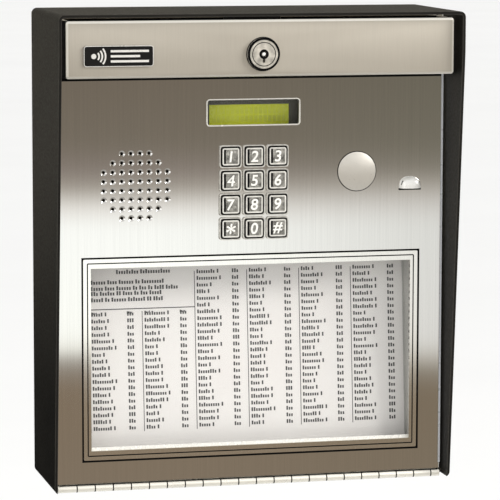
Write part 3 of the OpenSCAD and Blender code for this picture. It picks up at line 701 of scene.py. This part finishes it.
def directory_print(print_ink):
    """Six columns of rows of short upright strokes on the directory sheet, in place of words."""
    low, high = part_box("directory_sheet")
    dice = random.Random(4)
    pitch, row, left = 37.6 * MM, 4.65 * MM, low.x + 3.5 * MM
    name_at, code_at, gap = 1.9 * MM, 27.2 * MM, 1.1 * MM
    top, rule, last = high.z, high.z - 34.8 * MM, low.z + 14 * MM
    bar, letter, small, large = 0.5 * MM, 2.7 * MM, 1.7 * MM, 2.9 * MM
    raise_by, card = 0.06 * MM, 0.4 * MM
    slope = (high.y - card - low.y) / (high.z - low.z)
    # The block over the first two columns: mm below the top, mm in from the left, strokes in each run.
    notes = ((10.2, 20, (9, 12)), (17.1, 2, (6, 4, 6, 2, 9)), (21.4, 2, (5, 4, 6, 2, 3, 2, 4, 5)),
             (24.9, 2, (3, 6, 2, 4, 2, 3, 5)), (29.2, 2, (5, 2, 6, 7, 2, 4)))

    def mark(bm, x, z, width, height):
        """An upright oblong just clear of the sloping card."""
        x = max(x, low.x + 0.2 * MM)
        spots = ((x, z), (x + width, z), (x + width, z + height), (x, z + height))
        bm.faces.new([bm.verts.new((px, low.y + (pz - low.z) * slope - raise_by, pz)) for px, pz in spots])

    def word(bm, x, z, letters, size=letter):
        """A run of small separate strokes, one per place, of uneven height."""
        for i in range(letters):
            tall = i == 0 or dice.random() < 0.25
            mark(bm, x, z, size * 0.42, size * (1.0 if tall else 0.72))
            x += size * 0.62
        return x

    def listing(bm, x, first, count):
        """Rows of one column: a run for the name, a single stroke, and three for the code."""
        for i in range(count):
            z = first - i * row
            end = word(bm, x + name_at, z, dice.randint(4, 9))
            word(bm, end + gap, z, 1)
            word(bm, x + code_at, z, 3)

    def build(bm):
        for column in range(6):
            x = left + column * pitch
            short = column < 2
            count = 18 if short else 24
            listing(bm, x, last + (count - 1) * row, count)
            head = rule if short else top - 8 * MM
            mark(bm, x, last - 1.5 * MM, bar, head - last)
            if short:
                word(bm, x + 2 * MM, rule - 3 * MM, 4, small)
                word(bm, x + 27 * MM, rule - 3 * MM, 4, small)
        mark(bm, left, rule, 2 * pitch, bar * 1.3)
        for down, indent, lengths in notes:
            x = left + indent * MM
            for letters in lengths:
                x = word(bm, x, top - down * MM, letters, large) + 0.9 * MM

    piece("directory_print", build, "door", print_ink, slot="directory_paper")


def display_cells(shade):
    """The faint grid of character cells on the display: two rows of sixteen."""
    low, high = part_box("display_glass")
    middle = middle_of(low, high)
    cell_w, cell_h, step_x, step_z = 2.6 * MM, 4.6 * MM, 3.3 * MM, 5.6 * MM
    rows, columns = 2, 16
    y = low.y - 0.02 * MM

    def build(bm):
        for row in range(rows):
            for column in range(columns):
                x = middle[0] + (column - (columns - 1) / 2) * step_x - cell_w / 2
                z = middle[1] + ((rows - 1) / 2 - row) * step_z - cell_h / 2
                bm.faces.new([bm.verts.new(c) for c in (
                    (x, y, z), (x + cell_w, y, z), (x + cell_w, y, z + cell_h), (x, y, z + cell_h))])

    piece("display_cells", build, "door", shade, slot="display_glass")


def display_lip(bright_metal):
    """The lip round the display window, in a bright metal: partly polish, partly a painted highlight along
    the window's edge.
    """
    low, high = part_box("display_lens")
    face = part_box("door_panel")[0].y
    lap, wide, corner = 3 * MM, 0.95 * MM, 1.5 * MM
    window = (high.x - low.x - 2 * lap, high.z - low.z - 2 * lap)
    inner = wide + 0.02 * MM
    profile = [(inner, face + 1.9 * MM), (inner, face - 0.1 * MM), (wide - 0.2 * MM, face - 0.35 * MM),
               (0.25 * MM, face - 0.3 * MM), (0, face + 0.02 * MM)]

    def build(bm):
        sweep(bm, window[0] + 2 * wide, window[1] + 2 * wide, corner + wide, profile, middle_of(low, high),
              closed=False)

    piece("display_lip", build, "door", bright_metal, slot="door_steel")


def bezel_bead_and_shade(seal_and_shade_black):
    """The black bead between the directory's outer and inner frames: partly a real bead, partly painted shade
    of the gap between them.
    """
    low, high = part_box("directory_bezel")
    out, corner, rise, crown, sink = 0.4 * MM, 1 * MM, 0.06 * MM, 0.1 * MM, 0.3 * MM
    profile = [(0, low.y - rise), (out, low.y - crown), (out * 2, low.y - rise), (out * 2, low.y + sink),
               (0, low.y + sink)]

    def build(bm):
        sweep(bm, high.x - low.x + 2 * out, high.z - low.z + 2 * out, corner, profile, middle_of(low, high))

    piece("bezel_bead_and_shade", build, "door", seal_and_shade_black, slot="seal_rubber")


def dark_ring(name, node, body, face, inner, outer, rise, seal_and_shade_black):
    """A thin black ring round a turned node, on the surface at y = face: a painted shade line, in some places
    also a rubber washer.

    inner and outer are its edges' distances outside the node's own radius.
    """
    low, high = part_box(node)
    radius = (high.x - low.x) / 2
    spot = ((low.x + high.x) / 2, 0, (low.z + high.z) / 2)
    back, front = face + 0.02 * MM, face - rise
    profile = [(radius + inner, back), (radius + inner, front), (radius + outer - rise / 2, front),
               (radius + outer, back)]

    def build(bm):
        rings = lathe(bm, profile, spot, 64)
        join_rings(bm, rings[-1], rings[0])

    piece(name, build, body, seal_and_shade_black, slot="seal_rubber")


def dark_rings(seal_and_shade_black):
    """Black rings round the blank plug and the lock: washers that also paint the shade round their edges, and
    painted shade lines on the lock.
    """
    door_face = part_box("door_panel")[0].y
    bar_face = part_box("hood_bar")[0].y
    plug_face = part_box("lock_plug")[0].y
    head_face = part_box("lock_barrel")[0].y
    # Washers under the plug and round the lock: partly rubber, partly painted shade round their edges.
    dark_ring("plug_washer_and_shade", "blank_plug", "door", door_face, -1 * MM, 0.6 * MM, 0.3 * MM, seal_and_shade_black)
    dark_ring("lock_washer_and_shade", "lock_barrel", "door", bar_face, -1 * MM, 0.5 * MM, 0.25 * MM, seal_and_shade_black)
    # Painted shade: on the lock barrel's rim, in the gap round the plug, and in the ring of the keyway round
    # the post.
    dark_ring("lock_rim", "lock_barrel", "door", head_face + 0.4 * MM, -1.5 * MM, 0.04 * MM, 0.46 * MM, seal_and_shade_black)
    dark_ring("plug_line", "lock_plug", "lock", plug_face, -0.3 * MM, 0.25 * MM, 0.04 * MM, seal_and_shade_black)
    dark_ring("key_core", "lock_plug", "lock", plug_face, -6.2 * MM, -4.7 * MM, 0.05 * MM, seal_and_shade_black)


def key_post(bright_metal):
    """The bright post in the middle of the lock's keyway."""
    low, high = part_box("lock_plug")
    middle = ((low.x + high.x) / 2, 0, (low.z + high.z) / 2)
    radius, length = 1.2 * MM, 9 * MM
    profile = [(0.01 * MM, low.y + 0.05 * MM), (0.7 * MM, low.y + 0.15 * MM), (radius, low.y + 0.6 * MM),
               (radius, low.y + length)]

    def build(bm):
        lathe(bm, profile, middle, 32)

    piece("key_post", build, "lock", bright_metal, slot="lock_chrome")


def hinge_lines(seal_and_shade_black):
    """Thin black rings in the gaps between the hinge's knuckles, painted shade of those gaps, and a painted
    shadow line above the knuckles.
    """
    pin_low, pin_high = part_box("hinge_pin")
    pin = (pin_low + pin_high) / 2
    first, pitch, last, thick = 13.5 * MM, 12.7 * MM, 4 * MM, 0.8 * MM
    hole = (pin_high.z - pin_low.z) / 2 + 0.1 * MM
    radius = (pin.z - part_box("hinge_cabinet_leaf")[0].z) + 0.06 * MM

    def build(bm):
        edge = pin_low.x + first
        while edge < pin_high.x - last:
            left, right = edge - thick / 2, edge + thick / 2
            rings = lathe(bm, [(hole, left), (radius, left), (radius, right), (hole, right)],
                          (0, pin.y, pin.z), 32, axis="X")
            join_rings(bm, rings[-1], rings[0])
            edge += pitch

    def foot_shadow_line(bm):
        """The painted shadow line, on the door's face."""
        low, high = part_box("door_panel")
        top, proud, end = pin.z + radius, 0.05 * MM, 2 * MM
        block(bm, (low.x + end, low.y - proud, top - 0.2 * MM),
              (high.x - end, low.y + proud, top + 0.55 * MM))

    piece("hinge_lines", build, "cabinet", seal_and_shade_black, slot="pin_steel")
    piece("foot_shadow_line", foot_shadow_line, "door", seal_and_shade_black, slot="door_steel")


def hood_shadow_strip(seal_and_shade_black):
    """A black strip on the door along the foot of the hood bar: painted shadow under the bar."""
    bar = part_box("hood_bar")[0].z
    low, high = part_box("door_panel")

    def build(bm):
        block(bm, (low.x + 1 * MM, low.y - 0.06 * MM, bar - 3.6 * MM),
              (high.x - 1.7 * MM, low.y + 0.02 * MM, bar + 1.5 * MM))

    piece("hood_shadow_strip", build, "door", seal_and_shade_black, slot="seal_rubber")


def hood_shade_strips(seal_and_shade_black):
    """Thin black strips on the hood bar's top lip and ends, and along the door's head but for its notch:
    painted shade in the gaps round the bar.
    """
    low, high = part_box("hood_bar")
    door_low, door_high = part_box("door_panel")
    front, back, thick, bite = low.y + 1.6 * MM, low.y + 25 * MM, 0.08 * MM, 0.02 * MM
    lip, notch, inset = low.y + 7.7 * MM, 20.3 * MM, 3 * MM
    foot, head = high.z - 8 * MM, door_high.z - 0.5 * MM

    def build(bm):
        block(bm, (low.x, front, high.z - bite), (high.x, lip, high.z + thick))
        for start, end in ((low.x + inset, -notch), (notch, high.x - inset)):
            block(bm, (start, door_low.y - thick, foot), (end, door_low.y + bite, head))
        for side, x in ((-1, low.x), (1, high.x)):
            outer, inner = x + side * thick, x - side * bite
            block(bm, (min(outer, inner), front, low.z + 0.1 * MM), (max(outer, inner), back, high.z + thick))

    piece("hood_shade_strips", build, "door", seal_and_shade_black, slot="seal_rubber")


def door_edge(bright_metal):
    """A bright strip down the door's right edge: a painted highlight on its bend."""
    low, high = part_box("door_panel")
    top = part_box("hood_bar")[0].z
    wide, rise = 1.5 * MM, 0.07 * MM

    def build(bm):
        block(bm, (high.x - wide, low.y - rise, low.z + 4 * MM), (high.x - 0.15 * MM, low.y + 0.02 * MM, top))

    piece("door_edge", build, "door", bright_metal, slot="door_steel")


def louvre_shadow_line(seal_and_shade_black):
    """A black strip on the door under the microphone's louvre: painted shadow along its foot."""
    low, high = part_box("microphone_hood")
    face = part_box("door_panel")[0].y
    side = 0.3 * MM

    def build(bm):
        block(bm, (low.x - side, face - 0.25 * MM, low.z - 1.4 * MM),
              (high.x + side, face + 0.05 * MM, low.z))

    piece("louvre_shadow_line", build, "door", seal_and_shade_black, slot="seal_rubber")


def scoop(bright, seal_and_shade_black):
    """The pressed scoop over the microphone: a quarter of a dome, closed at its foot by a black face painted
    as the shade of its opening.
    """
    low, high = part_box("microphone_hood")
    centre, half = (low.x + high.x) / 2, (high.x - low.x) / 2
    rise, out = 0.86 * (high.z - low.z), high.y - low.y
    around, up = 32, 10
    full_side, full_top = 0.8, 0.7
    # Black faces in one row near each foot: painted shade in the scoop's inner corners.
    dark_row, dark_from, dark_to = 3, 2, 7

    def arch(bm, narrow, y):
        """One ring of the dome, from its right foot over the top to its left foot."""
        ring = []
        for i in range(around + 1):
            a = math.pi * i / around
            x = math.copysign(abs(math.cos(a)) ** full_side, math.cos(a))
            z = max(0.0, math.sin(a)) ** full_top
            ring.append(bm.verts.new((centre + half * narrow * x, y, low.z + rise * narrow * z)))
        return ring

    def build(bm):
        rings = []
        for j in range(up):
            a = math.pi / 2 * j / up
            rings.append(arch(bm, math.cos(a) ** full_top, high.y - out * math.sin(a)))
        tip = bm.verts.new((centre, low.y, low.z))
        for j, (first, second) in enumerate(zip(rings, rings[1:])):
            for i in range(around):
                side = bm.faces.new((first[i], first[i + 1], second[i + 1], second[i]))
                near_foot = dark_from <= min(i, around - 1 - i) < dark_to
                side.material_index = int(j == dark_row and near_foot)
        for i in range(around):
            bm.faces.new((rings[-1][i], rings[-1][i + 1], tip))
        # The black foot face: painted shade of the scoop's opening.
        foot = bm.faces.new([ring[0] for ring in rings] + [tip] + [ring[-1] for ring in reversed(rings)])
        foot.material_index = 1
        bm.faces.new(rings[0])

    obj = piece("microphone_scoop", build, "door", bright, seal_and_shade_black, slot="fitting_steel")
    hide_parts("microphone_hood")


def window_edge_highlight(bright):
    """A bright strip at the foot of the directory frame: a painted highlight on the clear window's lower
    edge.
    """
    low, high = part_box("directory_bezel")
    side, foot = 2.35 * MM, 3.45 * MM
    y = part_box("directory_window")[0].y

    def build(bm):
        block(bm, (low.x + side, y - 0.5 * MM, low.z + foot - 0.3 * MM),
              (high.x - side, y - 0.05 * MM, low.z + foot + 2.0 * MM))

    piece("window_edge_highlight", build, "door", bright, slot="clear_lens")


# Rows of resistors on the main board, in mm: first x, first z over the board's foot, steps, count, upright.
RESISTORS = (
    (-80, 58, 8.5, 0, 9, True),
    (72, 70, 0, 6, 7, False),
    (-70, 150, 17, 0, 4, False),
    (-70, 158, 17, 0, 4, False),
    (-70, 166, 17, 0, 4, False),
)


def board_parts(materials):
    """Small parts on the main board: resistors, chip legs and a crystal."""
    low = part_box("main_board")[0]
    chips_low, chips_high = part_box("logic_chips")
    face, pin_pitch = low.y, 2.54 * MM

    def resistor(bm, x, z, upright):
        """A waisted body with a bent wire at each end."""
        length, radius, reach = 6.2 * MM, 1.05 * MM, 5 * MM
        profile = [(0.1 * MM, -length / 2), (radius, -length / 2 + 0.3 * MM),
                   (radius * 0.85, -length / 4), (radius * 0.85, length / 4),
                   (radius, length / 2 - 0.3 * MM), (0.1 * MM, length / 2)]
        start = len(bm.verts)
        lathe(bm, profile, (0, 0, 0), 12, axis="X")
        bm.verts.ensure_lookup_table()
        made = bm.verts[start:]
        if upright:
            bmesh.ops.rotate(bm, verts=made, matrix=Matrix.Rotation(math.pi / 2, 3, "Y"))
        bmesh.ops.translate(bm, verts=made, vec=(x, face - 1.3 * MM, z))
        wire, front = 0.3 * MM, face - 1.6 * MM
        for dx, dz in ((0, -reach), (0, reach)) if upright else ((-reach, 0), (reach, 0)):
            wide, tall = abs(dx) / 2 + wire, abs(dz) / 2 + wire
            mid_x, mid_z = x + dx * 0.75, z + dz * 0.75
            block(bm, (mid_x - wide / 2, front, mid_z - tall / 2),
                  (mid_x + wide / 2, face - 1.0 * MM, mid_z + tall / 2), 1)
            block(bm, (x + dx - wire, front, z + dz - wire), (x + dx + wire, face, z + dz + wire), 1)

    def legs(bm, centre_x, centre_z, length, half):
        """Two rows of legs along a chip."""
        count = int(length / pin_pitch)
        for i in range(count):
            x = centre_x + (i - (count - 1) / 2) * pin_pitch
            for side in (-1, 1):
                z = centre_z + side * half
                block(bm, (x - 0.35 * MM, face - 2.6 * MM, z - 0.5 * MM),
                      (x + 0.35 * MM, face, z + 0.5 * MM), 1)

    def build(bm):
        for x, z, step_x, step_z, count, upright in RESISTORS:
            for i in range(count):
                resistor(bm, (x + step_x * i) * MM, low.z + (z + step_z * i) * MM, upright)
        half = 7.2 * MM
        legs(bm, 40 * MM, (chips_low.z + chips_high.z) / 2 - 5 * MM, 50 * MM, half)
        for k in range(3):
            legs(bm, -50 * MM, chips_low.z + (7 + 20 * k) * MM, 35 * MM, half)
        block(bm, (10 * MM, face - 4 * MM, low.z + 84 * MM), (21 * MM, face, low.z + 89 * MM), 1)

    piece("board_parts", build, "cabinet", materials["resistor"], materials["tinned_lead"],
          slot="terminal_plastic")


# ------------------------------------------------------------------ stage, light, camera

# What the steel reflects, by degrees above the horizon: on the door's left part and on its right part.
LEFT_BANDS = (
    (-90.0, (0.55, 0.54, 0.52)),
    (-20.0, (0.36, 0.32, 0.27)),
    (-9.8, (0.32, 0.25, 0.18)),
    (-9.45, (0.37, 0.32, 0.27)),
    (-9.22, (0.62, 0.60, 0.55)),
    (-9.05, (1.38, 1.40, 1.33)),
    (-8.8, (1.53, 1.58, 1.55)),
    (-6.75, (1.50, 1.55, 1.55)),
    (-6.4, (1.20, 1.18, 1.15)),
    (-6.05, (0.56, 0.52, 0.46)),
    (-5.75, (0.36, 0.31, 0.28)),
    (-5.2, (0.27, 0.235, 0.19)),
    (-3.0, (0.23, 0.19, 0.15)),
    (-1.0, (0.42, 0.39, 0.34)),
    (6.0, (0.95, 0.93, 0.9)),
    (90.0, (0.95, 0.95, 0.95)),
)
RIGHT_BANDS = (
    (-90.0, (0.55, 0.54, 0.52)),
    (-20.0, (0.36, 0.32, 0.27)),
    (-9.8, (0.29, 0.235, 0.17)),
    (-9.45, (0.38, 0.34, 0.28)),
    (-9.2, (0.75, 0.72, 0.66)),
    (-8.9, (0.98, 0.98, 0.98)),
    (-6.65, (1.01, 1.03, 1.02)),
    (-6.25, (0.86, 0.84, 0.82)),
    (-5.95, (0.60, 0.57, 0.51)),
    (-5.7, (0.34, 0.32, 0.27)),
    (-5.2, (0.25, 0.235, 0.19)),
    (-3.0, (0.20, 0.185, 0.145)),
    (-1.0, (0.42, 0.39, 0.34)),
    (6.0, (0.95, 0.93, 0.9)),
    (90.0, (1.1, 1.1, 1.1)),
)


def world_light():
    """A pale studio all round, and in front of the panel the low bands that its steel reflects."""
    world = bpy.data.worlds.new("studio")
    bpy.context.scene.world = world
    world.use_nodes = True
    nodes = Nodes(world.node_tree)
    toward = nodes.parts("Generated")
    left, right = (colour_ramp(nodes, toward["Z"], bands) for bands in (LEFT_BANDS, RIGHT_BANDS))
    front = nodes.mix(nodes.spread(toward["X"], 0.0, 1.0, 0.215, 0.295), left, right)
    behind = nodes.spread(toward["Y"], 0.0, 1.0, -0.15, 0.15)
    background = nodes.tree.nodes["Background"]
    nodes.link(nodes.mix(behind, front, (0.95, 0.95, 0.94)), background.inputs["Color"])
    background.inputs["Strength"].default_value = 1.0


def colour_ramp(nodes, height, bands):
    """Colours by elevation: each band is (degrees above the horizon, colour)."""
    low, high = -0.42, 0.42  # sines of the lowest and highest elevation told apart
    ramp = nodes.node("ShaderNodeValToRGB")
    nodes.link(nodes.spread(height, 0.0, 1.0, low, high), ramp.inputs["Fac"])
    stops = ramp.color_ramp.elements
    for i, (angle, colour) in enumerate(bands):
        spot = (max(low, min(high, math.sin(math.radians(angle)))) - low) / (high - low)
        stop = stops[i] if i < 2 else stops.new(spot)
        stop.position = spot
        stop.color = (*colour, 1.0)
    return ramp.outputs["Color"]


def lamp(name, place, size, power, colour):
    """A square soft light that faces the panel."""
    light = bpy.data.lights.new(name, "AREA")
    light.energy = power
    light.size = size
    light.color = colour
    obj = add_object(name, light)
    obj.location = place
    obj.rotation_mode = "QUATERNION"
    obj.rotation_quaternion = Vector(place).to_track_quat("Z", "Y")
    obj.visible_camera = False


def flat_card(name, corners, material):
    """A four-sided sheet of the stage."""
    mesh = bpy.data.meshes.new(name)
    mesh.from_pydata(corners, [], [(0, 1, 2, 3)])
    mesh.materials.append(material)
    obj = add_object(name, mesh)
    return obj


def pale_floor():
    """A wide pale floor that the steel doesn't reflect."""
    s = Shader("floor", (0.95, 0.95, 0.945), 0.0, 0.9)
    tone = s.noise(s.place(), 2.0, 3.0)
    s.colour(s.mix(s.spread(tone, 0.0, 1.0), (0.94, 0.94, 0.935), (0.96, 0.96, 0.955)))
    reach, level = 40.0, -0.62
    corners = [(-reach, -reach, level), (reach, -reach, level), (reach, reach, level), (-reach, reach, level)]
    flat_card("floor", corners, s.material).visible_glossy = False


def dark_card():
    """A card behind the panel, black at its foot, that only the shine of the cabinet's paint picks up."""
    s = Shader("card_black", (0.02, 0.018, 0.015), 0.0, 1.0)
    rise = s.spread(s.parts("Object")["Z"], 0.0, 1.0, -0.3, -0.08)
    s.colour(s.mix(rise, (0.0, 0.0, 0.0), (0.22, 0.205, 0.17)))
    side, behind, foot, head = 3, 1.2, -1.5, 1.6
    corners = [(-side, behind, foot), (side, behind, foot), (side, behind, head), (-side, behind, head)]
    card = flat_card("dark_card", corners, s.material)
    for ray in ("camera", "diffuse", "transmission", "shadow", "volume_scatter"):
        setattr(card, "visible_" + ray, False)


def camera():
    """A long lens from the visitor's left, a little above the panel."""
    cam = bpy.data.cameras.new("camera")
    obj = add_object("camera", cam)
    yaw, pitch, roll = math.radians(13.48), math.radians(7.2), math.radians(0.11)
    forward = Vector((math.sin(yaw) * math.cos(pitch), math.cos(yaw) * math.cos(pitch), -math.sin(pitch)))
    level = Vector((math.cos(yaw), -math.sin(yaw), 0))
    above = level.cross(forward)
    right = level * math.cos(roll) + above * math.sin(roll)
    up = right.cross(forward)
    turn = Matrix((right, up, -forward)).transposed()
    obj.rotation_mode = "QUATERNION"
    obj.rotation_quaternion = turn.to_quaternion()
    obj.location = (-0.4862, -2.0955, 0.2621)
    cam.sensor_width = 36.0
    cam.lens = 218.3
    cam.clip_start = 0.01
    bpy.context.scene.camera = obj


def main():
    """Dresses the CAD nodes, adds the pieces that are only looks, and sets the stage."""
    bpy.context.scene.view_settings.view_transform = "Standard"
    materials = make_materials()
    seal_and_shade_black, bright = materials["seal_rubber"], materials["digit_metal"]
    dress_nodes(materials)
    hood_bar(materials)
    badge(materials["sign_silver"])
    key_faces(materials)
    directory_print(materials["ink"])
    display_cells(materials["cell_shade"])
    display_lip(materials["lip_polish_and_highlight"])
    bezel_bead_and_shade(seal_and_shade_black)
    dark_rings(seal_and_shade_black)
    key_wells(seal_and_shade_black)
    key_post(bright)
    hood_shadow_strip(seal_and_shade_black)
    hood_shade_strips(seal_and_shade_black)
    hinge_lines(seal_and_shade_black)
    door_edge(materials["cool_edge"])
    louvre_shadow_line(seal_and_shade_black)
    scoop(materials["louvre_steel"], seal_and_shade_black)
    window_edge_highlight(bright)
    board_parts(materials)
    world_light()
    lamp("key_light", (1.5, -1.0, 1.0), 0.8, 34, (1.0, 0.98, 0.95))
    lamp("fill_light", (-1.6, -1.4, 0.5), 1.2, 4, (0.95, 0.97, 1.0))
    dark_card()
    pale_floor()
    camera()


main()
